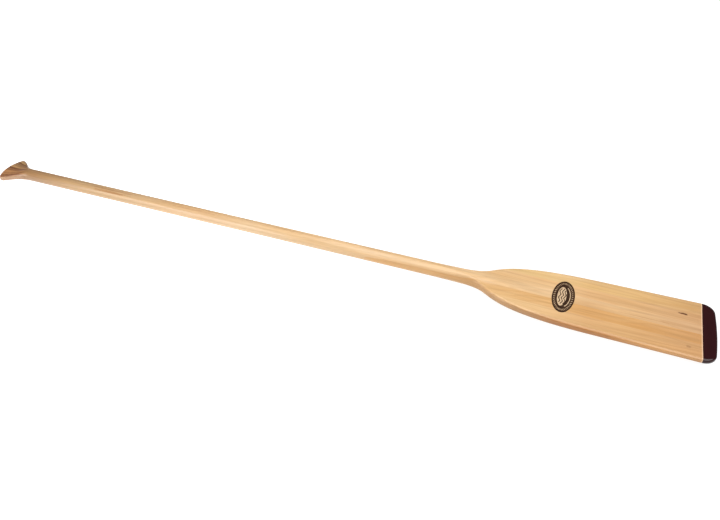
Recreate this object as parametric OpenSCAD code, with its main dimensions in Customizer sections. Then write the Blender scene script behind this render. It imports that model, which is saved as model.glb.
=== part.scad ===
// Single-blade wooden paddle with a palm grip.
// The blank is glued up from straight staves: a centre stave that runs from grip to tip,
// two staves on each side of it for the blade, and one cheek on each side for the grip.
// The glued blank is shaped as one, then the end of the blade is cast over with resin.
// X runs from the grip to the tip, Y across the blade, Z up. The origin lies under the
// middle of the paddle, on the surface that the shaft rests on.

/* [Paddle] */
// Overall length, from the end of the grip to the tip
paddle_l = 1676; // [1520:1:1830]
// Diameter of the round shaft
shaft_d = 29.5; // [28:0.1:30]

/* [Blade] */
// Length from the start of the flare to the tip
blade_l = 485; // [460:1:520]
// Overall width at the tip guard
blade_w = 162; // [156:1:180]
// Overall width where the flare ends and the sides turn straight
flare_w = 153.6; // [146:0.1:156]
// Length of the flare
flare_l = 259; // [240:1:280]
// Thickness of the sides of the blade at the start of the flare
root_t = 18.8; // [16:0.1:22]
// Thickness at the very tip
tip_t = 10.2; // [9:0.1:12]
// How far past the start of the flare the ridge of the shaft fades out
ridge_l = 165; // [140:1:170]
// Width of that ridge
ridge_w = 48; // [40:1:60]

/* [Staves] */
// Width of the centre stave in the blade
spine_w = 27; // [24:0.5:28]
// Width of each inner blade stave
inner_stave_w = 28; // [24:0.5:32]
// Distance from the start of the flare back to where the inner staves run out in the shaft
runout_reach = 230; // [200:1:260]
// Width of the centre stave in the grip
grip_core_w = 31; // [30.5:0.1:34]

/* [Grip] */
// Overall width of the palm grip
grip_w = 86; // [80:0.5:90]
// Length from the end of the grip to where its shoulders meet the shaft
grip_l = 79; // [75:1:90]
// Thickness at the very end
grip_end_t = 14.5; // [12:0.5:18]
// Thickness at the bottom of the dish that is scooped into each face
grip_dish_t = 13; // [11:0.1:18]
// Distance from the end to the bottom of the dish
grip_dish_x = 25; // [20:1:30]
// Radius of the curved end
grip_end_r = 80; // [70:1:120]
// Radius of the two corners
grip_corner_r = 8.5; // [8:0.5:10]

/* [Tip guard] */
// Length of the cast tip along the blade
guard_l = 27; // [26:0.5:34]
// Radius of the two corners of the tip
guard_corner_r = 24; // [14:0.5:24]
// Radius of the slightly curved tip edge
guard_edge_r = 900; // [800:10:1500]
// How far the tongue of the wood reaches into the guard
tongue_l = 12; // [8:0.5:15]
// Thickness of the tongue
tongue_t = 4; // [3:0.1:5]

/* [Badge] */
// Length of the oval badge, across the blade
badge_w = 96; // [70:1:110]
// Width of the oval badge, along the blade
badge_l = 44; // [30:1:50]
// Distance from the middle of the badge to the tip
badge_reach = 284; // [270:1:290]
// Thickness of the printed film
badge_t = 0.3; // [0.2:0.05:0.5]

/* [Hidden] */

shaft_r = shaft_d / 2;
// Length of the neck, where the round section starts to get its side edges
neck_l = 70;
// Where the thickness, the ridge, the edges and the squareness of the shaft turn into those of
// the blade: from and to, counted from the start of the flare
side_blend = [-40, 50];
ridge_blend = [-30, ridge_l];
edge_blend = [-neck_l, 60];
square_blend = [-20, 60];
// The ridge takes at most this share of the flat of a cross-section
ridge_share = 0.9;
// How far the tongue stays clear of the side of the blade
tongue_inset = 14;
// Places along the paddle, counted from the end of the grip
flare_x = paddle_l - blade_l;
neck_x = flare_x - neck_l;
runout_x = flare_x - runout_reach;
side_x = flare_x + flare_l;
guard_x = paddle_l - guard_l;
badge_x = paddle_l - badge_reach;
// Half widths, and the seams between the staves
blade_y = blade_w / 2;
flare_y = flare_w / 2;
spine_y = spine_w / 2;
inner_y = spine_y + inner_stave_w;
core_y = grip_core_w / 2;
tongue_y = blade_y - tongue_inset;
// Slope of the sides of the blade in plan, and of its faces in side view
side_slope = (blade_y - flare_y) / (guard_x - side_x);
face_slope = (root_t - tip_t) / 2 / blade_l;

// Reach of the two handles of the flare's curve: along the shaft and along the side
neck_pull = 0.28 * flare_l;
side_pull = 0.885 * flare_l;

// A side of the blade is rounded over side_round, measured across. A power of 2 makes the
// rounding a half ellipse, and more makes it squarer.
side_round = 6.5;
round_power = 2;
side_power = 2.7;
// The least flat left on top of the rounded sections
least_flat = 0.3;
// Rounding of the edge of the grip
grip_round = 4.5;

edge_rows = 8;
flare_steps = 18;
ridge_steps = 8;
corner_steps = 10;
tip_steps = 3;
shoulder_steps = 16;
badge_step = 5;
// Length over which the seams of the inner staves come out of the shaft, and how far clear of
// the shaft they start
runout_l = 60;
seam_clearance = 0.4;
// Height of the tools that cut the staves apart, and how far they overshoot
saw_h = 60;
overshoot = 1;
$fn = 96;

wood_pale = [0.89, 0.73, 0.54];
wood_warm = [0.86, 0.68, 0.46];
wood_honey = [0.84, 0.66, 0.44];
wood_grip = [0.70, 0.47, 0.31];
resin_brown = [0.16, 0.05, 0.06];
badge_brown = [0.30, 0.20, 0.15];

function mix(a, b, f) = a + (b - a) * f;
function ease(a, b, x) = let (f = min(1, max(0, (x - a) / (b - a)))) f * f * (3 - 2 * f);
function polar(r, a) = r * [cos(a), sin(a)];
function bezier(p, f) =
    pow(1 - f, 3) * p[0] + 3 * f * pow(1 - f, 2) * p[1]
    + 3 * f * f * (1 - f) * p[2] + pow(f, 3) * p[3];

// ---- Rounded edge ----------------------------------------------------------------------
// Row j of 0 .. 2 * edge_rows climbs round an edge from the lower face to the upper face.
// The inset is a share of the rounding's width, the height a share of the half thickness.
function edge_angle(j) = 90 * (j / edge_rows - 1);
function edge_inset(j, power) = 1 - pow(cos(edge_angle(j)), 2 / power);
function edge_height(j, power) =
    sign(edge_angle(j)) * pow(abs(sin(edge_angle(j))), 2 / power);

// ---- Neck, flare and blade -------------------------------------------------------------
flare_curve = [
    [flare_x, shaft_r],
    [flare_x + neck_pull, shaft_r],
    [side_x - side_pull, flare_y - side_slope * side_pull],
    [side_x, flare_y]
];

// [x, half width] of every station from the neck to the tip guard
blade_stations = concat(
    [for (f = [0, 1 / 3, 2 / 3]) [mix(neck_x, flare_x, f), shaft_r]],
    [for (i = [0 : flare_steps]) bezier(flare_curve, i / flare_steps)],
    [[guard_x, blade_y]]
);

function blade_half_t(x) = tip_t / 2 + face_slope * (paddle_l - x);
// 0 before a blend, 1 after it
function blended(span, x) = ease(flare_x + span[0], flare_x + span[1], x);
function side_half_t(x) = mix(shaft_r, blade_half_t(x), blended(side_blend, x));
function ridge_half_t(x) = mix(shaft_r, blade_half_t(x), blended(ridge_blend, x));
function side_edge(x) = mix(shaft_r - least_flat, side_round, blended(edge_blend, x));
function side_squareness(x) = mix(round_power, side_power, blended(square_blend, x));

// Half thickness at y: that of the sides, plus the ridge along the centre line
function face_z(x, y) =
    mix(side_half_t(x), ridge_half_t(x), pow(1 - min(1, pow(2 * y / ridge_w, 2)), 2));

// One closed cross-section, from the middle of the left edge over the upper face and the
// right edge, and back below
function blade_ring(x, w) =
    let (
        e = side_edge(x),
        power = side_squareness(x),
        flat_y = w - e,
        side = face_z(x, flat_y),
        quarter = [for (j = [edge_rows : 2 * edge_rows])
            [w - e * edge_inset(j, power), side * edge_height(j, power)]],
        ridge_y = min(ridge_w / 2, ridge_share * flat_y),
        face = [for (i = [0 : ridge_steps]) ridge_y * (1 - 2 * i / ridge_steps)]
    )
    concat(
        [for (j = [0 : edge_rows]) [x, quarter[j][0], quarter[j][1]]],
        [for (y = face) [x, y, face_z(x, y)]],
        [for (j = [edge_rows : -1 : 0]) [x, -quarter[j][0], quarter[j][1]]],
        [for (j = [1 : edge_rows]) [x, -quarter[j][0], -quarter[j][1]]],
        [for (y = face) [x, -y, -face_z(x, y)]],
        [for (j = [edge_rows : -1 : 1]) [x, quarter[j][0], -quarter[j][1]]]
    );

// Skin over rings that all have the same number of points
module skin(rings) {
    m = len(rings[0]);
    last = len(rings) - 1;
    walls = [for (k = [0 : last - 1]) for (j = [0 : m - 1])
        let (a = k * m + j, b = k * m + (j + 1) % m)
        each [[a, a + m, b], [b, a + m, b + m]]];
    caps = [[for (j = [0 : m - 1]) j], [for (j = [m - 1 : -1 : 0]) last * m + j]];
    polyhedron([for (ring = rings) each ring], concat(walls, caps));
}

// ---- Slabs with a rounded edge all round but one end: the grip and the tip guard --------
// The path is the outline from the left side round the end to the right side. It stops
// square at both of its ends, which have the same x.
function outward(path, k, turn) =
    k == 0 || k == len(path) - 1
        ? [0, sign(path[k].y)]
        : let (d = path[k + 1] - path[k - 1]) turn * [-d.y, d.x] / norm(d);

// Adds the mirror image of a left half outline that ends on the centre line
function both_sides(half) =
    concat(half, [for (i = [len(half) - 2 : -1 : 0]) [half[i].x, -half[i].y]]);

module rounded_slab(path, half_t, edge, power) {
    rows = 2 * edge_rows;
    last = len(path) - 1;
    middle = last / 2;
    // 1 where the end of the slab points along +X, -1 where it points along -X
    turn = sign(path[middle].x - path[0].x);
    function id(k, j) = k * (rows + 1) + j;
    function facing(f) = turn > 0 ? f : [for (i = [len(f) - 1 : -1 : 0]) f[i]];
    points = [for (k = [0 : last]) for (j = [0 : rows])
        let (p = path[k] - edge(path[k].x) * edge_inset(j, power) * outward(path, k, turn))
        [p.x, p.y, half_t(p.x) * edge_height(j, power)]];
    sides = [for (k = [0 : last - 1]) for (j = [0 : rows - 1])
        each [facing([id(k, j), id(k + 1, j), id(k, j + 1)]),
              facing([id(k, j + 1), id(k + 1, j), id(k + 1, j + 1)])]];
    // Strips across the upper face, from the open end to the middle of the curved end
    upper = [for (k = [0 : middle - 1])
        each concat(
            [[id(k, rows), id(k + 1, rows), id(last - k, rows)]],
            k < middle - 1 ? [[id(k + 1, rows), id(last - k - 1, rows), id(last - k, rows)]] : []
        )];
    lower = [for (f = upper) [f[2] - rows, f[1] - rows, f[0] - rows]];
    open_end = concat(
        [for (j = [edge_rows : rows]) id(0, j)],
        [for (j = [rows : -1 : 0]) id(last, j)],
        [for (j = [0 : edge_rows - 1]) id(0, j)]
    );
    polyhedron(points, concat(
        sides,
        [for (f = concat(upper, lower)) facing(f)],
        [facing(open_end)]
    ));
}

// Tip guard: straight side, round corner, slightly curved tip
guard_corner_y = blade_y - guard_corner_r;
guard_edge_c = paddle_l - guard_edge_r;
guard_corner_x = guard_edge_c
    + sqrt(pow(guard_edge_r - guard_corner_r, 2) - pow(guard_corner_y, 2));
guard_turn = atan2(guard_corner_y, guard_corner_x - guard_edge_c);
guard_half = concat(
    [[guard_x, blade_y]],
    [for (i = [0 : corner_steps])
        [guard_corner_x, guard_corner_y]
        + polar(guard_corner_r, mix(90, guard_turn, i / corner_steps))],
    [for (i = [1 : tip_steps])
        [guard_edge_c, 0] + polar(guard_edge_r, mix(guard_turn, 0, i / tip_steps))]
);

// Grip: hollow shoulder, round corner, curved end
grip_corner_y = grip_w / 2 - grip_corner_r;
grip_corner_x = grip_end_r
    - sqrt(pow(grip_end_r - grip_corner_r, 2) - pow(grip_corner_y, 2));
grip_turn = atan2(grip_corner_y, grip_corner_x - grip_end_r);
// Direction in which the corner faces where it runs into the shoulder, and the reach of the
// two handles of the shoulder's curve: along the shaft and along the corner
shoulder_turn = 62;
shaft_pull = 26;
corner_pull = 19;
shoulder_start = [grip_corner_x, grip_corner_y] + polar(grip_corner_r, shoulder_turn);
shoulder_curve = [
    [grip_l, shaft_r],
    [grip_l - shaft_pull, shaft_r],
    shoulder_start + polar(corner_pull, shoulder_turn - 90),
    shoulder_start
];
grip_half = concat(
    [for (i = [0 : shoulder_steps]) bezier(shoulder_curve, i / shoulder_steps)],
    [for (i = [1 : corner_steps])
        [grip_corner_x, grip_corner_y]
        + polar(grip_corner_r, mix(shoulder_turn, grip_turn, i / corner_steps))],
    [for (i = [1 : corner_steps])
        [grip_end_r, 0] + polar(grip_end_r, mix(grip_turn, 180, i / corner_steps))]
);

function grip_half_t(x) =
    x < grip_dish_x
        ? mix(grip_end_t, grip_dish_t, ease(0, grip_dish_x, x)) / 2
        : mix(grip_dish_t / 2, shaft_r, ease(grip_dish_x, grip_l, x));
function grip_edge(x) =
    mix(grip_round, shaft_r - least_flat, ease(grip_dish_x, grip_l, x));

// ---- The shaped blank ------------------------------------------------------------------
module grip_end() {
    rounded_slab(both_sides(grip_half), function (x) grip_half_t(x),
                 function (x) grip_edge(x), round_power);
}

module shaft() {
    translate([grip_l, 0, 0]) rotate([0, 90, 0]) cylinder(h = neck_x - grip_l, r = shaft_r);
}

module blade_end() {
    shaft();
    skin([for (s = blade_stations) blade_ring(s.x, s.y)]);
}

// ---- The staves before shaping, in plan ------------------------------------------------
// The inner staves start in the shaft as feather edges, where their seams come out of it
runout_seam = [
    [runout_x, shaft_r + seam_clearance],
    [runout_x + runout_l, spine_y],
    [guard_x + overshoot, spine_y]
];

module saw(plan) {
    translate([0, 0, -saw_h / 2]) linear_extrude(saw_h) polygon(plan);
}

module spine_plan() {
    saw(concat(
        [[grip_l - overshoot, shaft_r + overshoot]],
        runout_seam,
        [for (i = [len(runout_seam) - 1 : -1 : 0]) [runout_seam[i].x, -runout_seam[i].y]],
        [[grip_l - overshoot, -shaft_r - overshoot]]
    ));
}

module inner_plan() {
    saw(concat(runout_seam, [[guard_x + overshoot, inner_y], [runout_x, inner_y]]));
}

module slab_plan(x0, x1, y0, y1) {
    saw([[x0, y0], [x1, y0], [x1, y1], [x0, y1]]);
}

// The tongue that a stave pushes into the tip guard
module tongue(y0, y1) {
    translate([guard_x - overshoot, y0, -tongue_t / 2])
        cube([tongue_l + overshoot, y1 - y0, tongue_t]);
}

module on_axis() {
    translate([-paddle_l / 2, 0, shaft_r]) children();
}

// ---- Sub-parts -------------------------------------------------------------------------
module shaft_spine() {
    color(wood_pale) on_axis() union() {
        intersection() {
            blade_end();
            spine_plan();
        }
        intersection() {
            grip_end();
            slab_plan(-overshoot, grip_l + overshoot, -core_y, core_y);
        }
        tongue(-spine_y, spine_y);
    }
}

module inner_stave() {
    intersection() {
        blade_end();
        inner_plan();
    }
    tongue(spine_y, inner_y);
}

module outer_stave() {
    intersection() {
        blade_end();
        slab_plan(flare_x, guard_x + overshoot, inner_y, blade_y + overshoot);
    }
    tongue(inner_y, tongue_y);
}

module cheek() {
    intersection() {
        grip_end();
        slab_plan(-overshoot, grip_l + overshoot, core_y, grip_w);
    }
}

module stave_left_inner() {
    color(wood_warm) on_axis() inner_stave();
}

module stave_left_outer() {
    color(wood_honey) on_axis() outer_stave();
}

module stave_right_inner() {
    color(wood_warm) on_axis() mirror([0, 1, 0]) inner_stave();
}

module stave_right_outer() {
    color(wood_honey) on_axis() mirror([0, 1, 0]) outer_stave();
}

module grip_cheek_left() {
    color(wood_grip) on_axis() cheek();
}

module grip_cheek_right() {
    color(wood_grip) on_axis() mirror([0, 1, 0]) cheek();
}

module tip_guard() {
    color(resin_brown) on_axis() difference() {
        rounded_slab(both_sides(guard_half), function (x) blade_half_t(x),
                     function (x) side_round, side_power);
        translate([guard_x - overshoot, -tongue_y, -tongue_t / 2])
            cube([tongue_l + overshoot, 2 * tongue_y, tongue_t]);
    }
}

module badge() {
    color(badge_brown) on_axis()
        translate([badge_x, 0, blade_half_t(badge_x)])
            rotate([0, atan(face_slope), 0])
                linear_extrude(badge_t)
                    polygon([for (a = [0 : badge_step : 360 - badge_step])
                        [badge_l / 2 * cos(a), badge_w / 2 * sin(a)]]);
}

shaft_spine();
stave_left_inner();
stave_left_outer();
stave_right_inner();
stave_right_outer();
grip_cheek_left();
grip_cheek_right();
tip_guard();
badge();
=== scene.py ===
import math

import bmesh
import bpy
import numpy as np
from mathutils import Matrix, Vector


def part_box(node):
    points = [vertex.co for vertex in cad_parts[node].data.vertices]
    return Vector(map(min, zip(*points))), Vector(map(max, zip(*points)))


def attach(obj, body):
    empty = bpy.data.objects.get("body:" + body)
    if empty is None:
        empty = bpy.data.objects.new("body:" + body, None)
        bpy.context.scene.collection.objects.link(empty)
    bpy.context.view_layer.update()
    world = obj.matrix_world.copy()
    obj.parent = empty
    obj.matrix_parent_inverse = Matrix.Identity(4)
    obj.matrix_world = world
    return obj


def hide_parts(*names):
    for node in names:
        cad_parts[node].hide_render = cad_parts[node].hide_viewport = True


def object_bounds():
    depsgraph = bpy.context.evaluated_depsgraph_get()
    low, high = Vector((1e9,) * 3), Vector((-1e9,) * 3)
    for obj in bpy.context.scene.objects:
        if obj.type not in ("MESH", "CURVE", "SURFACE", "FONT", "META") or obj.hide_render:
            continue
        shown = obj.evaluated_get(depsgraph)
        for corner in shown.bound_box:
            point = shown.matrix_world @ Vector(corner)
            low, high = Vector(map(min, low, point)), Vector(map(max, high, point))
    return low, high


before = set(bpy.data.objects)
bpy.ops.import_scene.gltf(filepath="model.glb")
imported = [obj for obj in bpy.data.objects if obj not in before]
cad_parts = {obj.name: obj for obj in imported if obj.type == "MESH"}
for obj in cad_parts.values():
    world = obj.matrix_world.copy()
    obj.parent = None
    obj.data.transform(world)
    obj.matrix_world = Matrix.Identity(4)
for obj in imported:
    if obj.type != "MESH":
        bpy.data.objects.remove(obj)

# A wooden single-blade paddle: glued staves shaped as one blank, a cast resin tip and a printed
# badge. Metres, in the row frame: X from the grip to the tip, Y across the blade, Z up.

# ---- Sizes, from the frame ---------------------------------------------------------------
LOW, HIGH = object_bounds()
SHAFT_R = (HIGH.z - LOW.z) / 2
AXIS_Z = LOW.z + SHAFT_R
BLADE_Y = HIGH.y
GUARD_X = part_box("tip_guard")[0].x
SPINE_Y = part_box("stave_left_inner")[0].y
INNER_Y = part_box("stave_left_outer")[0].y
CORE_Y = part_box("grip_cheek_left")[0].y
GRIP_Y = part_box("grip_cheek_left")[1].y
BADGE_LOW, BADGE_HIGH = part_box("badge")

# Shape of the blank, as the design has it
BLADE_L = 0.485
FLARE_X = HIGH.x - BLADE_L
FLARE_Y = 0.0768
FLARE_L = 0.259
SIDE_X = FLARE_X + FLARE_L
NECK_X = FLARE_X - 0.070
SIDE_BLEND = (FLARE_X - 0.040, FLARE_X + 0.050)
RIDGE_BLEND = (FLARE_X - 0.030, FLARE_X + 0.165)
EDGE_BLEND = (NECK_X, FLARE_X + 0.060)
SQUARE_BLEND = (FLARE_X - 0.020, FLARE_X + 0.060)
NECK_PULL = 0.28 * FLARE_L
SIDE_PULL = 0.885 * FLARE_L
ROOT_T = 0.0188
TIP_T = 0.0102
RIDGE_W = 0.048
SIDE_ROUND = 0.0065
SIDE_POWER = 2.7
ROUND_POWER = 2.0
LEAST_FLAT = 0.0003
RUNOUT_X = FLARE_X - 0.230
RUNOUT_L = 0.060
SEAM_CLEARANCE = 0.0004
SANDING = 0.00003
SANDING_PEAK = 2.4
SANDING_FADE = 0.020

GRIP_L = 0.079
GRIP_X = LOW.x + GRIP_L
GRIP_END_T = 0.0145
GRIP_DISH_T = 0.013
GRIP_DISH_L = 0.025
GRIP_END_R = 0.080
GRIP_CORNER_R = 0.0085
GRIP_ROUND = 0.0045
SHOULDER_TURN = 62
SHOULDER_PULLS = (0.026, 0.019)

GUARD_CORNER_R = 0.024
GUARD_EDGE_R = 0.900

# ---- How finely the surfaces are divided ---------------------------------------------------
EDGE_ROWS = 16
FACE_COLS = 44
SHAFT_STEP = 0.012
NECK_STEP = 0.005
BLADE_STEP = 0.0045
MERGE = 2e-6
CREASE = math.radians(38)

SIDE_SLOPE = (BLADE_Y - FLARE_Y) / (GUARD_X - SIDE_X)
FACE_SLOPE = (ROOT_T - TIP_T) / 2 / BLADE_L


def mix(a, b, f):
    return a + (b - a) * f


def ease(a, b, x):
    f = np.clip((np.asarray(x, float) - a) / (b - a), 0, 1)
    return f * f * (3 - 2 * f)


def bezier(points, f):
    p = np.asarray(points, float)
    f = np.asarray(f, float)[:, None]
    g = 1 - f
    return g**3 * p[0] + 3 * g * g * f * p[1] + 3 * g * f * f * p[2] + f**3 * p[3]


# ---- The shaped blank ----------------------------------------------------------------------
def flare_outline():
    """x and half width from the start of the flare to the tip guard."""
    curve = bezier(
        [
            (FLARE_X, SHAFT_R),
            (FLARE_X + NECK_PULL, SHAFT_R),
            (SIDE_X - SIDE_PULL, FLARE_Y - SIDE_SLOPE * SIDE_PULL),
            (SIDE_X, FLARE_Y),
        ],
        np.linspace(0, 1, 241),
    )
    return np.vstack([curve, [GUARD_X, BLADE_Y]])


OUTLINE = flare_outline()


def half_width(x):
    return np.interp(x, OUTLINE[:, 0], OUTLINE[:, 1])


def blade_half_t(x):
    return TIP_T / 2 + FACE_SLOPE * (HIGH.x - x)


def face_z(x, y):
    """Half thickness of the blade at y, with the ridge of the shaft along its middle."""
    side = mix(SHAFT_R, blade_half_t(x), ease(*SIDE_BLEND, x))
    ridge = mix(SHAFT_R, blade_half_t(x), ease(*RIDGE_BLEND, x))
    return mix(side, ridge, (1 - np.minimum(1, (2 * y / RIDGE_W) ** 2)) ** 2)


def hand_sanding(x, y):
    """The slight waves that sanding leaves, all below the true surface and under 0.15 mm deep.
    They fade out at the grip and at the tip guard, so that the surfaces meet flush there."""
    waves = (
        np.sin(47 * x + 31 * y + 0.7)
        + 0.8 * np.sin(83 * x - 52 * y + 2.1)
        + 0.6 * np.sin(131 * x + 96 * y + 4.4)
        - SANDING_PEAK
    )
    from_grip = ease(GRIP_X, GRIP_X + SANDING_FADE, x)
    to_guard = 1 - ease(GUARD_X - SANDING_FADE, GUARD_X, x)
    return SANDING * from_grip * to_guard * waves


def section(x, y_low, y_high):
    """Points round the part of the blank's cross-section at x that is between two seams."""
    w = half_width(x)
    edge = mix(SHAFT_R - LEAST_FLAT, SIDE_ROUND, ease(*EDGE_BLEND, x))
    power = mix(ROUND_POWER, SIDE_POWER, ease(*SQUARE_BLEND, x))
    flat = w - edge
    turn = np.linspace(0, math.pi / 2, EDGE_ROWS + 1)
    side_y = flat + edge * np.cos(turn) ** (2 / power)
    face_y = np.linspace(flat, -flat, FACE_COLS + 1)[1:-1]
    y = np.clip(np.concatenate([side_y, face_y, -side_y[::-1]]), y_low, y_high)
    reach = np.clip((np.abs(y) - flat) / edge, 0, 1)
    z = face_z(x, np.clip(y, -flat, flat)) * (1 - reach**power) ** (1 / power)
    z = z + hand_sanding(x, y) * (1 - reach)
    ring = np.concatenate([np.stack([y, z], 1), np.stack([y, -z], 1)[::-1]])
    return np.column_stack([np.full(len(ring), x), ring[:, 0], AXIS_Z + ring[:, 1]])


def inner_seam(x):
    """Half width of the centre stave, with the run-out of the inner staves in the shaft."""
    return np.interp(x, [RUNOUT_X, RUNOUT_X + RUNOUT_L], [SHAFT_R + SEAM_CLEARANCE, SPINE_Y])


def stations(start):
    """Places of the cross-sections from start to the tip guard."""

    def steps(a, b, step):
        return np.linspace(a, b, max(2, round((b - a) / step) + 1))

    every = np.concatenate(
        [
            steps(GRIP_X, RUNOUT_X, SHAFT_STEP),
            steps(RUNOUT_X, NECK_X, NECK_STEP),
            steps(NECK_X, GUARD_X, BLADE_STEP),
        ]
    )
    return np.unique(np.append(every[every > start + MERGE], start))


def loft(bm, rings, close_start=True):
    """Skins closed rings that all have the same number of points."""
    rows = [[bm.verts.new(p) for p in ring] for ring in rings]
    m = len(rows[0])
    for a, b in zip(rows, rows[1:]):
        for j in range(m):
            k = (j + 1) % m
            bm.faces.new((a[j], b[j], b[k], a[k]))
    if close_start:
        bm.faces.new(rows[0])
    bm.faces.new(rows[-1][::-1])


def mesh_object(name, bm, material, merge=MERGE):
    """Tidies a mesh, smooths it between creases and makes it a piece that rides on the root."""
    bmesh.ops.remove_doubles(bm, verts=bm.verts, dist=merge)
    bmesh.ops.dissolve_degenerate(bm, edges=bm.edges, dist=merge / 2)
    bmesh.ops.recalc_face_normals(bm, faces=bm.faces)
    mesh = bpy.data.meshes.new(name)
    bm.to_mesh(mesh)
    bm.free()
    mesh.polygons.foreach_set("use_smooth", [True] * len(mesh.polygons))
    mesh.set_sharp_from_angle(angle=CREASE)
    mesh.materials.append(material)
    piece = bpy.data.objects.new(name, mesh)
    bpy.context.scene.collection.objects.link(piece)
    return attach(piece, "root")


# ---- The grip ------------------------------------------------------------------------------
def polar(centre, r, degrees):
    a = np.radians(degrees)
    return np.column_stack([centre[0] + r * np.cos(a), centre[1] + r * np.sin(a)])


def grip_outline():
    """Left half of the grip's outline, from the shaft round the end to the centre line."""
    corner_y = GRIP_Y - GRIP_CORNER_R
    corner_x = GRIP_END_R - math.sqrt((GRIP_END_R - GRIP_CORNER_R) ** 2 - corner_y**2)
    corner = np.array([corner_x, corner_y])
    end_turn = math.degrees(math.atan2(corner_y, corner_x - GRIP_END_R))
    start = polar(corner, GRIP_CORNER_R, [SHOULDER_TURN])[0]
    along = polar((0, 0), SHOULDER_PULLS[1], [SHOULDER_TURN - 90])[0]
    shoulder = bezier(
        [(GRIP_L, SHAFT_R), (GRIP_L - SHOULDER_PULLS[0], SHAFT_R), start + along, start],
        np.linspace(0, 1, 37),
    )
    turn = polar(corner, GRIP_CORNER_R, np.linspace(SHOULDER_TURN, end_turn, 17)[1:])
    end = polar((GRIP_END_R, 0), GRIP_END_R, np.linspace(end_turn, 180, 25)[1:])
    return np.vstack([shoulder, turn, end])


def grip_half_t(x, y):
    """Half thickness of the grip, x from its end."""
    ends = mix(GRIP_END_T, GRIP_DISH_T, ease(0, GRIP_DISH_L, x)) / 2
    neck = mix(GRIP_DISH_T / 2, SHAFT_R, ease(GRIP_DISH_L, GRIP_L, x))
    return np.where(x < GRIP_DISH_L, ends, neck)


def grip_edge(x):
    return mix(GRIP_ROUND, SHAFT_R - LEAST_FLAT, ease(GRIP_DISH_L, GRIP_L, x))


def slab(bm, half, half_t, edge, power, origin_x, turn, close=True):
    """A slab with a rounded edge all round but its open end. half is the left half of its
    outline from the open end to the centre line, and turn is -1 where it ends towards -X."""
    step = np.gradient(half, axis=0)
    out = turn * np.column_stack([-step[:, 1], step[:, 0]])
    out /= np.linalg.norm(out, axis=1)[:, None]
    out[0] = (0, 1)
    out[-1] = (turn, 0)
    rise = np.linspace(0, math.pi / 2, EDGE_ROWS + 1)
    inset = 1 - np.cos(rise) ** (2 / power)
    climb = np.sin(rise) ** (2 / power)
    rows = []
    for p, n in zip(half, out):
        e = edge(p[0])
        side = p - np.outer(inset, n) * e
        face = np.linspace(side[-1, 1], -side[-1, 1], FACE_COLS + 1)[1:-1]
        x = np.concatenate([side[:, 0], np.full(len(face), side[-1, 0]), side[::-1, 0]])
        y = np.concatenate([side[:, 1], face, -side[::-1, 1]])
        rising = np.concatenate([climb, np.ones(len(face)), climb[::-1]])
        z = half_t(x, y) * rising
        rows.append((origin_x + x, y, z))
    grids = [
        [[bm.verts.new((a, b, AXIS_Z + s * c)) for a, b, c in zip(*row)] for row in rows]
        for s in (1, -1)
    ]
    for grid in grids:
        for a, b in zip(grid, grid[1:]):
            for j in range(len(a) - 1):
                bm.faces.new((a[j], b[j], b[j + 1], a[j + 1]))
    if close:
        bm.faces.new(grids[0][0] + grids[1][0][::-1])


def keep_between(bm, y_low, y_high):
    """Saws a mesh along two planes of constant y and closes the cuts."""
    for y, side in ((y_low, -1), (y_high, 1)):
        geometry = bm.verts[:] + bm.edges[:] + bm.faces[:]
        cut = bmesh.ops.bisect_plane(
            bm,
            geom=geometry,
            plane_co=(0, y, 0),
            plane_no=(0, side, 0),
            clear_outer=True,
        )
        edges = [e for e in cut["geom_cut"] if isinstance(e, bmesh.types.BMEdge)]
        if edges:
            bmesh.ops.holes_fill(bm, edges=edges, sides=0)


def grip_between(bm, y_low, y_high):
    slab(bm, grip_outline(), grip_half_t, grip_edge, ROUND_POWER, LOW.x, -1, close=False)
    bmesh.ops.remove_doubles(bm, verts=bm.verts, dist=MERGE)
    keep_between(bm, y_low, y_high)


# ---- Materials -----------------------------------------------------------------------------
def colour(r, g, b):
    return (r, g, b, 1)


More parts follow.
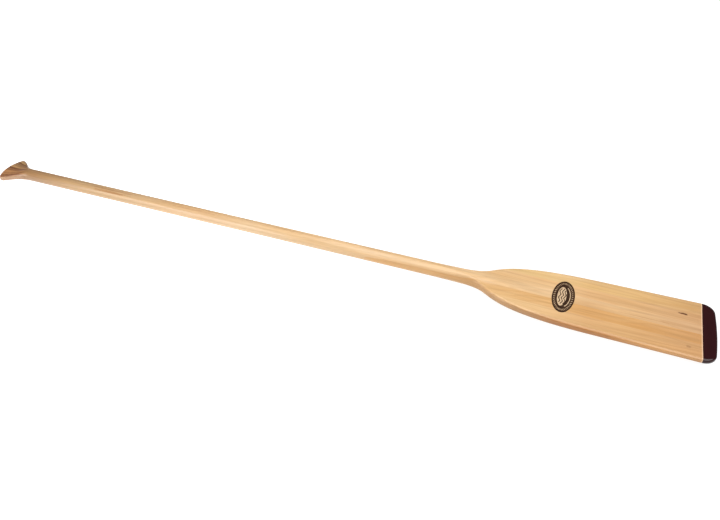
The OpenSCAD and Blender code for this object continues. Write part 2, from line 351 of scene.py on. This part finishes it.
class Nodes:
    """Builds a material's nodes with short calls."""

    def __init__(self, name):
        self.material = bpy.data.materials.new(name)
        self.material.use_nodes = True
        self.tree = self.material.node_tree
        self.shader = self.tree.nodes["Principled BSDF"]

    def add(self, kind, inputs=(), **settings):
        node = self.tree.nodes.new(kind)
        for key, value in settings.items():
            setattr(node, key, value)
        for key, value in dict(inputs).items():
            self.put(value, node.inputs[key])
        return node

    def put(self, value, socket):
        if isinstance(value, bpy.types.NodeSocket):
            self.tree.links.new(value, socket)
        else:
            socket.default_value = value

    def set(self, **values):
        for key, value in values.items():
            self.put(value, self.shader.inputs[key.replace("_", " ")])

    def math(self, operation, *values):
        return self.add("ShaderNodeMath", enumerate(values), operation=operation).outputs[0]

    def vector_math(self, operation, *values):
        return self.add("ShaderNodeVectorMath", enumerate(values), operation=operation).outputs

    def place(self, offset=(0, 0, 0), turn=(0, 0, 0), scale=(1, 1, 1)):
        """Object coordinates, moved, turned and scaled."""
        coord = self.add("ShaderNodeTexCoord").outputs["Object"]
        moved = self.add(
            "ShaderNodeMapping", {"Vector": coord, "Location": offset, "Rotation": turn}
        )
        scaled = self.add("ShaderNodeMapping", {"Vector": moved.outputs[0], "Scale": scale})
        return scaled.outputs[0]

    def noise(self, vector, detail=2.0, roughness=0.5, distortion=0.0):
        node = self.add(
            "ShaderNodeTexNoise",
            {
                "Vector": vector,
                "Scale": 1.0,
                "Detail": detail,
                "Roughness": roughness,
                "Distortion": distortion,
            },
        )
        return node.outputs["Fac"]

    def colour_ramp(self, fac, stops):
        """Each stop is (position, (r, g, b))."""
        node = self.add("ShaderNodeValToRGB", {"Fac": fac})
        elements = node.color_ramp.elements
        while len(elements) < len(stops):
            elements.new(0.5)
        for element, (position, rgb) in zip(elements, stops):
            element.position = position
            element.color = colour(*rgb)
        return node.outputs["Color"]

    def ramp(self, fac, *stops):
        """Straight steps from one grey to the next: each stop is (position, grey)."""
        return self.colour_ramp(fac, [(position, (grey,) * 3) for position, grey in stops])

    def blend(self, fac, a, b, mode="MIX"):
        node = self.add("ShaderNodeMix", data_type="RGBA", blend_type=mode)
        self.put(fac, node.inputs[0])
        self.put(a, node.inputs[6])
        self.put(b, node.inputs[7])
        return node.outputs[2]

    def step(self, value, start, end):
        """0 at start to 1 at end, eased, whichever of the two is larger."""
        low, high = (0, 1) if start < end else (1, 0)
        node = self.add(
            "ShaderNodeMapRange",
            {0: value, 1: min(start, end), 2: max(start, end), 3: low, 4: high},
            interpolation_type="SMOOTHSTEP",
        )
        return node.outputs[0]

    def along(self, value, stops):
        """A colour that changes along a line: each stop is (place, (r, g, b))."""
        first, last = stops[0][0], stops[-1][0]
        fac = self.add("ShaderNodeMapRange", {0: value, 1: first, 2: last}).outputs[0]
        shares = [((place - first) / (last - first), rgb) for place, rgb in stops]
        return self.colour_ramp(fac, shares)

    def spot(self, where, size, strength):
        """1 inside an ellipsoid with a ragged edge, fading to 0 round it."""
        coord = self.add("ShaderNodeTexCoord").outputs["Object"]
        ragged = self.add(
            "ShaderNodeTexNoise", {"Vector": coord, "Scale": 160.0, "Detail": 3.0}
        ).outputs["Color"]
        centred = self.vector_math("SUBTRACT", ragged, (0.5, 0.5, 0.5))[0]
        reach = self.vector_math("MULTIPLY", centred, tuple(1.2 * a for a in size))[0]
        moved = self.vector_math("ADD", coord, reach)[0]
        local = self.add(
            "ShaderNodeMapping",
            {"Vector": moved, "Location": where, "Scale": size},
            vector_type="TEXTURE",
        )
        far = self.vector_math("LENGTH", local.outputs[0])["Value"]
        return self.math("MULTIPLY", self.step(far, 1.0, 0.6), strength)

    def tinted(self, mask, tone, value, stops):
        """A tone multiplied, where the mask is 1, by a colour that changes along a line."""
        tint = self.blend(1.0, tone, self.along(value, stops), "MULTIPLY")
        return self.blend(mask, tone, tint)

    def bump(self, height, distance, strength):
        inputs = {"Height": height, "Distance": distance, "Strength": strength}
        return self.add("ShaderNodeBump", inputs).outputs[0]


# How the wood's tone drifts along the paddle, with painted light and shade mixed in from how the
# lamps fell along it, darkest at the grip end and darker again towards the tip: (x, share of red,
# green and blue)
TONE_AND_PAINTED_LIGHT_ALONG = [
    (LOW.x + 0.100, (0.45, 0.38, 0.32)),
    (LOW.x + 0.195, (0.60, 0.56, 0.51)),
    (LOW.x + 0.290, (0.68, 0.67, 0.65)),
    (LOW.x + 0.430, (0.80, 0.79, 0.80)),
    (LOW.x + 0.570, (0.87, 0.87, 0.92)),
    (LOW.x + 0.690, (0.91, 0.93, 0.97)),
    (LOW.x + 0.820, (0.97, 1.00, 1.05)),
    (LOW.x + 0.940, (0.95, 0.96, 0.97)),
    (LOW.x + 1.140, (0.98, 0.99, 0.99)),
    (LOW.x + 1.370, (1.01, 1.03, 1.08)),
    (LOW.x + 1.440, (0.94, 0.91, 0.90)),
    (LOW.x + 1.520, (0.91, 0.87, 0.83)),
    (LOW.x + 1.600, (0.84, 0.77, 0.73)),
    (LOW.x + 1.649, (0.79, 0.71, 0.68)),
]
# Painted shade on what faces sideways, on top of that, changing along the paddle in the same way
PAINTED_SIDE_SHADE_ALONG = [
    (LOW.x + 0.900, (1.00, 1.00, 1.00)),
    (LOW.x + 1.060, (0.98, 0.92, 0.87)),
    (LOW.x + 1.200, (0.90, 0.84, 0.78)),
    (LOW.x + 1.330, (0.66, 0.56, 0.50)),
    (LOW.x + 1.390, (0.76, 0.64, 0.55)),
    (LOW.x + 1.460, (0.86, 0.75, 0.63)),
    (LOW.x + 1.560, (0.95, 0.87, 0.77)),
    (LOW.x + 1.649, (1.00, 0.96, 0.90)),
]
# Painted shade, in the same way, on the blade's rounded edges, which dims their highlight
PAINTED_EDGE_SHADE_ALONG = [
    (LOW.x + 1.330, (1.00, 1.00, 1.00)),
    (LOW.x + 1.380, (0.86, 0.74, 0.62)),
    (LOW.x + 1.480, (0.82, 0.70, 0.58)),
    (LOW.x + 1.540, (0.95, 0.92, 0.88)),
    (LOW.x + 1.600, (1.00, 1.00, 1.00)),
]
LATE_WOOD = 0.30
# A paler line on the wood right beside the tip guard: its width and its colour
PALE_LINE_L = 0.0024
PALE_LINE_TONE = colour(0.84, 0.62, 0.45)
GRIP_FACE = colour(0.42, 0.20, 0.080)
GRIP_FACE_FAR = colour(0.47, 0.29, 0.125)
# Dark streaks in the grip, also used for painted shade along its rounded edge
GRIP_STREAK_AND_EDGE_SHADE = colour(0.115, 0.040, 0.018)
GRIP_RIM = colour(0.31, 0.19, 0.115)
# Where the grip's tone begins and is full, where its streaks would meet, and how many there are
GRIP_TONE = (GRIP_X - 0.004, GRIP_X - 0.032)
FAN_X = GRIP_X + 0.030
FAN_RAYS = 11.0


def wood_figure(n, offset, turn, ring):
    """Late wood of the growth rings, fibres, broad streaks, pores and slow drift, each 0 to 1.
    The rings are shells round a wandering pith line that lies beside the board."""
    wander = n.noise(n.place(offset, turn, (3, 14, 14)), detail=2)
    split = n.add("ShaderNodeSeparateXYZ", {"Vector": n.place(offset, turn)})
    across = n.math("POWER", split.outputs[1], 2.0)
    pith = n.math("POWER", n.math("MULTIPLY_ADD", wander, 0.030, split.outputs[2]), 2.0)
    radius = n.math("SQRT", n.math("ADD", across, pith))
    ripple = n.noise(n.place(offset, turn, (9, 90, 90)), detail=3)
    phase = n.math("MULTIPLY_ADD", ripple, 0.9, n.math("DIVIDE", radius, ring))
    late = n.ramp(n.math("FRACT", phase), (0.0, 0.05), (0.55, 0.2), (0.88, 1.0), (1.0, 0.05))
    fibre = n.noise(n.place(offset, turn, (7, 520, 520)), detail=5, roughness=0.62)
    streak = n.noise(n.place(offset, turn, (3.5, 120, 120)), detail=3, roughness=0.6)
    pore_noise = n.noise(n.place(offset, turn, (70, 1900, 1900)), detail=1)
    pore = n.ramp(pore_noise, (0.0, 0.0), (0.66, 0.0), (0.74, 1.0))
    slow = n.noise(n.place(offset, turn, (4.5, 26, 26)), detail=2)
    drift = n.ramp(slow, (0.32, 0), (0.68, 1))
    return late, fibre, streak, pore, drift


def varnished_wood(name, pale, warm, dark, offset, turn, ring, spots=()):
    """Wood with fibres along X and clear varnish. pale and warm are the two tones that the
    board drifts between, dark is its late wood, and each spot is (place, half sizes, colour,
    strength)."""
    n = Nodes(name)
    late, fibre, streak, pore, drift = wood_figure(n, offset, turn, ring)
    tone = n.blend(drift, pale, warm)
    tone = n.blend(n.math("MULTIPLY", late, LATE_WOOD), tone, dark)
    tone = n.blend(1.0, tone, n.ramp(fibre, (0.25, 0.86), (0.75, 1.0)), "MULTIPLY")
    tone = n.blend(1.0, tone, n.ramp(streak, (0.34, 0.86), (0.6, 1.0)), "MULTIPLY")
    tone = n.blend(n.math("MULTIPLY", pore, 0.35), tone, dark)
    coord = n.add("ShaderNodeTexCoord")
    place = n.add("ShaderNodeSeparateXYZ", {"Vector": coord.outputs["Object"]}).outputs
    facing = n.add("ShaderNodeSeparateXYZ", {"Vector": coord.outputs["Normal"]}).outputs
    up = n.math("ABSOLUTE", facing[2])
    # Painted light and shade along the paddle, on top of the wood's own tone
    tone = n.blend(1.0, tone, n.along(place[0], TONE_AND_PAINTED_LIGHT_ALONG), "MULTIPLY")
    # Painted shade on what faces sideways
    tone = n.tinted(n.step(up, 0.93, 0.40), tone, place[0], PAINTED_SIDE_SHADE_ALONG)
    # Painted shade on the blade's rounded edges
    tone = n.tinted(n.step(up, 0.998, 0.95), tone, place[0], PAINTED_EDGE_SHADE_ALONG)
    # A paler line on the wood right beside the tip guard
    beside_guard = n.step(place[0], GUARD_X - PALE_LINE_L, GUARD_X - PALE_LINE_L / 2)
    tone = n.blend(n.math("MULTIPLY", beside_guard, 0.4), tone, PALE_LINE_TONE)
    # The scooped grip shows dark streaks that run together towards the shaft
    in_grip = n.step(place[0], *GRIP_TONE)
    fan = n.math("DIVIDE", place[1], n.math("SUBTRACT", FAN_X, place[0]))
    rays = n.add("ShaderNodeCombineXYZ", {0: n.math("MULTIPLY", fan, FAN_RAYS), 1: place[0]})
    ray = n.noise(rays.outputs[0], detail=5, roughness=0.65, distortion=1.1)
    scoop = n.blend(n.step(place[1], -0.004, 0.022), GRIP_FACE, GRIP_FACE_FAR)
    scoop = n.blend(n.ramp(ray, (0.42, 0.0), (0.62, 0.9)), scoop, GRIP_STREAK_AND_EDGE_SHADE)
    scoop = n.blend(1.0, scoop, n.ramp(fibre, (0.25, 0.8), (0.75, 1.0)), "MULTIPLY")
    rim = n.blend(n.math("MULTIPLY", late, 0.3), GRIP_RIM, GRIP_FACE)
    grip = n.blend(n.step(up, 0.35, 0.75), rim, scoop)
    # Painted shade: a dark band along the grip's rounded edge, where it turns from the scoop to
    # the sides
    edge = n.ramp(up, (0.70, 0.0), (0.80, 0.7), (0.92, 0.7), (0.985, 0.0))
    grip = n.blend(edge, grip, GRIP_STREAK_AND_EDGE_SHADE)
    tone = n.blend(in_grip, tone, grip)
    for where, size, tint, strength in spots:
        tone = n.blend(n.spot(where, size, strength), tone, tint)
    n.set(
        Base_Color=tone,
        Roughness=n.math("MULTIPLY_ADD", fibre, 0.25, 0.36),
        Coat_Weight=0.55,
        Coat_Roughness=0.17,
        Coat_IOR=1.5,
        Specular_IOR_Level=0.2,
    )
    relief = n.math("ADD", fibre, n.math("MULTIPLY", pore, -0.6))
    n.set(Normal=n.bump(relief, 0.00006, 0.6))
    orange_peel = n.noise(n.place(scale=(160, 160, 160)), detail=2)
    n.set(Coat_Normal=n.bump(orange_peel, 0.00003, 0.35))
    return n.material


def resin(name):
    n = Nodes(name)
    cloud = n.noise(n.place(scale=(60, 45, 60)), detail=4, roughness=0.6)
    streaks = n.noise(n.place(scale=(30, 160, 80)), detail=3, distortion=0.6)
    tone = n.blend(cloud, colour(0.015, 0.0018, 0.0025), colour(0.031, 0.0045, 0.0058))
    tone = n.blend(n.math("MULTIPLY", streaks, 0.35), tone, colour(0.012, 0.004, 0.003))
    scuffs = n.ramp(
        n.noise(n.place(scale=(900, 260, 500)), detail=2), (0.0, 0.0), (0.62, 0.0), (0.72, 1.0)
    )
    n.set(
        Base_Color=tone,
        Roughness=n.math("MULTIPLY_ADD", scuffs, 0.12, 0.16),
        Coat_Weight=0.6,
        Coat_Roughness=0.07,
        Specular_IOR_Level=0.1,
        Normal=n.bump(cloud, 0.0004, 0.25),
    )
    return n.material


def ink(name, dark, light):
    n = Nodes(name)
    worn = n.noise(n.place(scale=(420, 420, 420)), detail=4, roughness=0.7)
    grain = n.noise(n.place(scale=(12, 700, 700)), detail=3)
    wear = n.math("MULTIPLY_ADD", grain, 0.5, n.math("MULTIPLY", worn, 0.5))
    n.set(
        Base_Color=n.blend(n.ramp(wear, (0.42, 0), (0.66, 1)), dark, light),
        Roughness=n.math("MULTIPLY_ADD", worn, 0.2, 0.4),
        Coat_Weight=0.35,
        Coat_Roughness=0.17,
        Specular_IOR_Level=0.1,
        Normal=n.bump(grain, 0.00005, 0.5),
    )
    return n.material


# ---- Wood pieces ---------------------------------------------------------------------------
def turned(x=0.0, y=0.0, z=0.0):
    return tuple(math.radians(a) for a in (x, y, z))


KNOT = colour(0.11, 0.040, 0.018)
STREAK = colour(0.28, 0.125, 0.048)
spine_wood = varnished_wood(
    "wood_spine",
    colour(0.70, 0.48, 0.27),
    colour(0.66, 0.41, 0.19),
    colour(0.50, 0.28, 0.12),
    offset=(1.3, 0.012, 0.045),
    turn=turned(y=1.1, z=0.4),
    ring=0.0042,
    spots=[
        ((LOW.x + 0.322, -0.0095, AXIS_Z + 0.0113), (0.060, 0.0028, 0.0034), STREAK, 0.65),
        ((LOW.x + 0.330, -0.0040, AXIS_Z + 0.0140), (0.075, 0.0022, 0.0030), STREAK, 0.45),
        ((LOW.x + 0.160, 0.0020, AXIS_Z + 0.0140), (0.050, 0.0026, 0.0030), STREAK, 0.45),
        ((LOW.x + 0.560, -0.0060, AXIS_Z + 0.0130), (0.090, 0.0016, 0.0030), STREAK, 0.35),
        ((LOW.x + 0.800, -0.0010, AXIS_Z + 0.0145), (0.110, 0.0015, 0.0030), STREAK, 0.30),
        ((HIGH.x - 0.130, -0.0050, HIGH.z / 2), (0.060, 0.0018, 0.0200), STREAK, 0.25),
    ],
)
left_inner_wood = varnished_wood(
    "wood_left_inner",
    colour(0.70, 0.47, 0.25),
    colour(0.66, 0.40, 0.18),
    colour(0.51, 0.28, 0.11),
    offset=(4.1, -0.060, 0.030),
    turn=turned(y=-0.9, z=0.6),
    ring=0.0036,
    spots=[((HIGH.x - 0.061, 0.034, HIGH.z / 2), (0.0095, 0.0032, 0.02), KNOT, 1.0)],
)
left_outer_wood = varnished_wood(
    "wood_left_outer",
    colour(0.69, 0.47, 0.24),
    colour(0.66, 0.43, 0.18),
    colour(0.49, 0.27, 0.09),
    offset=(7.7, -0.030, 0.060),
    turn=turned(y=0.7, z=-0.5),
    ring=0.0040,
)
right_inner_wood = varnished_wood(
    "wood_right_inner",
    colour(0.65, 0.40, 0.18),
    colour(0.62, 0.34, 0.12),
    colour(0.46, 0.23, 0.07),
    offset=(2.6, 0.040, 0.055),
    turn=turned(y=1.3, z=0.3),
    ring=0.0038,
)
right_outer_wood = varnished_wood(
    "wood_right_outer",
    colour(0.66, 0.42, 0.20),
    colour(0.63, 0.38, 0.17),
    colour(0.48, 0.25, 0.09),
    offset=(9.2, 0.020, 0.040),
    turn=turned(y=-1.0, z=-0.4),
    ring=0.0036,
    spots=[((HIGH.x - 0.051, -0.055, HIGH.z / 2), (0.0055, 0.0040, 0.02), KNOT, 0.3)],
)
grip_wood = varnished_wood(
    "wood_grip",
    colour(0.60, 0.38, 0.20),
    colour(0.54, 0.32, 0.16),
    colour(0.30, 0.12, 0.05),
    offset=(5.5, 0.030, 0.020),
    turn=turned(y=2.0, z=1.0),
    ring=0.0044,
)


def spine_piece():
    bm = bmesh.new()
    places = stations(GRIP_X)
    rings = [section(x, -inner_seam(x), inner_seam(x)) for x in places]
    loft(bm, rings, close_start=False)
    grip_between(bm, -CORE_Y, CORE_Y)
    return mesh_object("spine_stave", bm, spine_wood)


def stave_piece(name, side, seam_in, seam_out, material):
    """One blade stave, side 1 on the left and -1 on the right."""
    bm = bmesh.new()
    rings = []
    for x in stations(start_of(seam_in)):
        y_low, y_high = sorted((side * seam_in(x), side * seam_out(x)))
        rings.append(section(x, y_low, y_high))
    loft(bm, rings)
    return mesh_object(name, bm, material)


def start_of(seam):
    """Where the blank first gets wider than a seam."""
    x = np.linspace(RUNOUT_X, GUARD_X, 4001)
    return x[np.argmax(half_width(x) > seam(x) + MERGE)]


def outer_seam(x):
    return INNER_Y


def blade_edge(x):
    return BLADE_Y


def cheek_piece(name, y_low, y_high):
    bm = bmesh.new()
    grip_between(bm, y_low, y_high)
    return mesh_object(name, bm, grip_wood)


spine = spine_piece()
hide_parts("shaft_spine")

STAVES = [
    ("left_inner", 1, inner_seam, outer_seam, left_inner_wood, "wood_inner"),
    ("left_outer", 1, outer_seam, blade_edge, left_outer_wood, "wood_outer"),
    ("right_inner", -1, inner_seam, outer_seam, right_inner_wood, "wood_inner"),
    ("right_outer", -1, outer_seam, blade_edge, right_outer_wood, "wood_outer"),
]
for stave, side, seam_in, seam_out, wood, slot in STAVES:
    piece = stave_piece("blade_stave_" + stave, side, seam_in, seam_out, wood)
    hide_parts("stave_" + stave)

for side, y_low, y_high in (("left", CORE_Y, GRIP_Y * 2), ("right", -GRIP_Y * 2, -CORE_Y)):
    piece = cheek_piece("grip_block_" + side, y_low, y_high)
    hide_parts("grip_cheek_" + side)


# ---- Tip guard -----------------------------------------------------------------------------
def guard_outline():
    """Left half of the guard's outline, from the wood round the corner to the centre line."""
    length = HIGH.x - GUARD_X
    corner_y = BLADE_Y - GUARD_CORNER_R
    edge_c = length - GUARD_EDGE_R
    corner_x = edge_c + math.sqrt((GUARD_EDGE_R - GUARD_CORNER_R) ** 2 - corner_y**2)
    end_turn = math.degrees(math.atan2(corner_y, corner_x - edge_c))
    side = np.column_stack([np.linspace(0, corner_x, 3)[:-1], np.full(2, BLADE_Y)])
    turn = polar((corner_x, corner_y), GUARD_CORNER_R, np.linspace(90, end_turn, 25))
    end = polar((edge_c, 0), GUARD_EDGE_R, np.linspace(end_turn, 0, 19)[1:])
    return np.vstack([side, turn, end])


def guard_half_t(x, y):
    return blade_half_t(GUARD_X + x)


def guard_piece():
    bm = bmesh.new()
    slab(bm, guard_outline(), guard_half_t, lambda x: SIDE_ROUND, SIDE_POWER, GUARD_X, 1)
    return mesh_object("tip_casting", bm, resin("resin_tip"))


guard = guard_piece()
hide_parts("tip_guard")


# ---- Badge ---------------------------------------------------------------------------------
BADGE_X = (BADGE_LOW.x + BADGE_HIGH.x) / 2
BADGE_A = (BADGE_HIGH.x - BADGE_LOW.x) / 2
BADGE_B = (BADGE_HIGH.y - BADGE_LOW.y) / 2
INK_T = 0.00009
INK_FOOT = 0.00001
INK_MERGE = 1e-7
ALL_ROUND = np.linspace(0, 2 * math.pi, 96, endpoint=False)

# The print, in parts of the badge's half sizes along and across
STRANDS = 40
STRAND_START = (0.72, 0.78)
STRAND_REACH = (0.15, 0.11)
STRAND_SLANT = 0.10
STRAND_W = 0.06
ARC_TURNS = np.linspace(-1.15, 1.15, 25)
ARC_SIDES = ((0.56, 0.62), (0.63, 0.67))
PANEL_U = -0.13
PANEL_A, PANEL_B = 0.40, 0.60
WAVE_ROWS = (-0.36, -0.12, 0.10)
WAVE_HEIGHT = 0.07
WAVE_W = 0.085
WAVE_MARGIN = 0.04


def on_blade(u, v, lift):
    """A point of the badge: u along and v across in parts of its half size, above the blade."""
    x = BADGE_X + u * BADGE_A
    y = v * BADGE_B
    return Vector((x, y, AXIS_Z + float(face_z(x, y) + hand_sanding(x, y)) + lift))


def printed(bm, lines, lift, closed=True):
    """A film of ink between lines of points. Closed lines are rings, and the first is filled."""
    layers = []
    for height in (lift, INK_FOOT):
        rows = [[bm.verts.new(on_blade(u, v, height)) for u, v in line] for line in lines]
        count = len(rows[0])
        for row, after in zip(rows, rows[1:]):
            for i in range(count if closed else count - 1):
                k = (i + 1) % count
                bm.faces.new((row[i], after[i], after[k], row[k]))
        if closed:
            bm.faces.new(rows[0])
        layers.append(rows[-1] if closed else rows[0] + rows[-1][::-1])
    top, foot = layers
    for i in range(len(top)):
        k = (i + 1) % len(top)
        bm.faces.new((foot[i], top[i], top[k], foot[k]))


def oval(a, b, turns, u0=0.0):
    """Points of an ellipse with its centre at u0, in parts of the badge's half sizes."""
    return [(u0 + a * math.cos(t), b * math.sin(t)) for t in turns]


badge_dark = ink("badge_dark_ink", colour(0.016, 0.006, 0.002), colour(0.056, 0.026, 0.011))
badge_mid = ink("badge_mid_ink", colour(0.26, 0.165, 0.095), colour(0.52, 0.37, 0.23))
badge_pale = ink("badge_pale_ink", colour(0.42, 0.28, 0.16), colour(0.66, 0.50, 0.33))

bm = bmesh.new()
printed(bm, [oval(share, share, ALL_ROUND) for share in np.linspace(0.08, 1, 12)], INK_T)
ground = mesh_object("badge_ground", bm, badge_dark, merge=INK_MERGE)
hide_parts("badge")

bm = bmesh.new()
for i in range(STRANDS):
    line = []
    for f in (0, 0.5, 1):
        a = 2 * math.pi * i / STRANDS + STRAND_SLANT * f
        u, v = (start + reach * f for start, reach in zip(STRAND_START, STRAND_REACH))
        line.append((u * math.cos(a), v * math.sin(a)))
    cos, sin = math.cos(STRAND_W), math.sin(STRAND_W)
    other_side = [(u * cos - v * sin, u * sin + v * cos) for u, v in line]
    printed(bm, [line, other_side], 2 * INK_T, closed=False)
rope = mesh_object("badge_rope", bm, badge_mid, merge=INK_MERGE)

bm = bmesh.new()
printed(bm, [oval(a, b, ARC_TURNS) for a, b in ARC_SIDES], 2 * INK_T, closed=False)
panel = [
    oval(share * PANEL_A, share * PANEL_B, ALL_ROUND, PANEL_U)
    for share in np.linspace(0.1, 1, 6)
]
printed(bm, panel, 2 * INK_T)
print_pale = mesh_object("badge_arc_and_panel", bm, badge_pale, merge=INK_MERGE)

bm = bmesh.new()
for row in WAVE_ROWS:
    v = np.linspace(-0.50, 0.50, 41)
    u = row + WAVE_HEIGHT * np.sin(v * 16)
    half = PANEL_A * np.sqrt(np.clip(1 - (v / PANEL_B) ** 2, 0, 1)) - WAVE_MARGIN
    line = [(a, b) for a, b, c in zip(u, v, half) if abs(a - PANEL_U) < c]
    printed(bm, [line, [(a + WAVE_W, b) for a, b in line]], 3 * INK_T, closed=False)
waves = mesh_object("badge_waves", bm, badge_dark, merge=INK_MERGE)


# ---- Floor, light and camera ---------------------------------------------------------------
FLOOR_REACH = 20
FLOOR_GAP = 0.0003
WALL_SINK = 0.1
# Where the floor's glow, a painted light, rises from least at the first x to most at the second
GLOW_X = (0.45, -0.35)
CAMERA_PLACE = (0.5317, -1.0750, 0.9182)
CAMERA_HEADING = math.radians(-20.786)
CAMERA_DIP = math.radians(38.846)
CAMERA_LENS = 33.82


def stage_piece(name, bm, material):
    mesh = bpy.data.meshes.new(name)
    bm.to_mesh(mesh)
    bm.free()
    mesh.materials.append(material)
    piece = bpy.data.objects.new(name, mesh)
    bpy.context.scene.collection.objects.link(piece)
    return piece


def stage_floor():
    n = Nodes("floor")
    shade = n.noise(n.place(scale=(2, 2, 2)), detail=2)
    n.set(Base_Color=n.blend(shade, colour(0.20, 0.20, 0.20), colour(0.22, 0.22, 0.22)))
    n.set(Roughness=0.9, Specular_IOR_Level=0.1)
    place = n.add("ShaderNodeSeparateXYZ", {"Vector": n.place()}).outputs
    # Painted light: the floor glows brighter towards the grip end, lights the paddle from below
    # like a lamp and washes out its shadow
    glow = n.blend(n.step(place[0], *GLOW_X), colour(0.9, 0.9, 0.9), colour(1.5, 1.5, 1.5))
    n.set(Emission_Color=glow, Emission_Strength=1.0)
    bm = bmesh.new()
    bmesh.ops.create_grid(bm, x_segments=8, y_segments=8, size=FLOOR_REACH)
    bmesh.ops.translate(bm, verts=bm.verts, vec=(0, 0, LOW.z - FLOOR_GAP))
    stage_piece("floor", bm, n.material)


def stage_backdrop():
    """A pale wall round the floor, which lights nothing."""
    n = Nodes("backdrop")
    n.set(Base_Color=colour(0, 0, 0), Specular_IOR_Level=0.0)
    n.set(Emission_Color=colour(1, 1, 1), Emission_Strength=1.2)
    bm = bmesh.new()
    around = np.linspace(0, 2 * math.pi, 48, endpoint=False)
    ring = [(FLOOR_REACH * math.cos(a), FLOOR_REACH * math.sin(a)) for a in around]
    rows = [[bm.verts.new((x, y, z)) for x, y in ring] for z in (-WALL_SINK, FLOOR_REACH)]
    for i in range(len(around)):
        k = (i + 1) % len(around)
        bm.faces.new((rows[0][i], rows[1][i], rows[1][k], rows[0][k]))
    wall = stage_piece("backdrop", bm, n.material)
    wall.visible_diffuse = False
    wall.visible_glossy = False
    wall.visible_shadow = False


def softbox(name, place, target, size, watts):
    light = bpy.data.lights.new(name, "AREA")
    light.shape = "RECTANGLE"
    light.size, light.size_y = size
    light.energy = watts
    lamp = bpy.data.objects.new(name, light)
    lamp.location = place
    aim = Vector(target) - Vector(place)
    lamp.rotation_euler = aim.to_track_quat("-Z", "Y").to_euler()
    lamp.visible_camera = False
    bpy.context.scene.collection.objects.link(lamp)


def camera():
    """The view from above the near side of the blade, with the grip far off to the left."""
    data = bpy.data.cameras.new("camera")
    data.sensor_width = 36
    data.lens = CAMERA_LENS
    data.clip_end = 50
    cam = bpy.data.objects.new("camera", data)
    cam.location = CAMERA_PLACE
    level = math.cos(CAMERA_DIP)
    aim = Vector(
        (math.sin(CAMERA_HEADING) * level, math.cos(CAMERA_HEADING) * level, -math.sin(CAMERA_DIP))
    )
    cam.rotation_euler = aim.to_track_quat("-Z", "Y").to_euler()
    bpy.context.scene.collection.objects.link(cam)
    bpy.context.scene.camera = cam


stage_floor()
stage_backdrop()
softbox("overhead", (1.6, -1.2, 3.4), (1.6, -1.2, 0), (5.8, 6.0), 350)
softbox("front_left", (-1.15, -1.35, 0.42), (-0.5, 0, 0.1), (1.05, 0.8), 15)
world = bpy.data.worlds.new("studio")
world.use_nodes = True
sky = world.node_tree.nodes["Background"].inputs
sky["Color"].default_value = colour(1, 1, 1)
sky["Strength"].default_value = 0.10
bpy.context.scene.world = world
bpy.context.scene.view_settings.view_transform = "Standard"
camera()
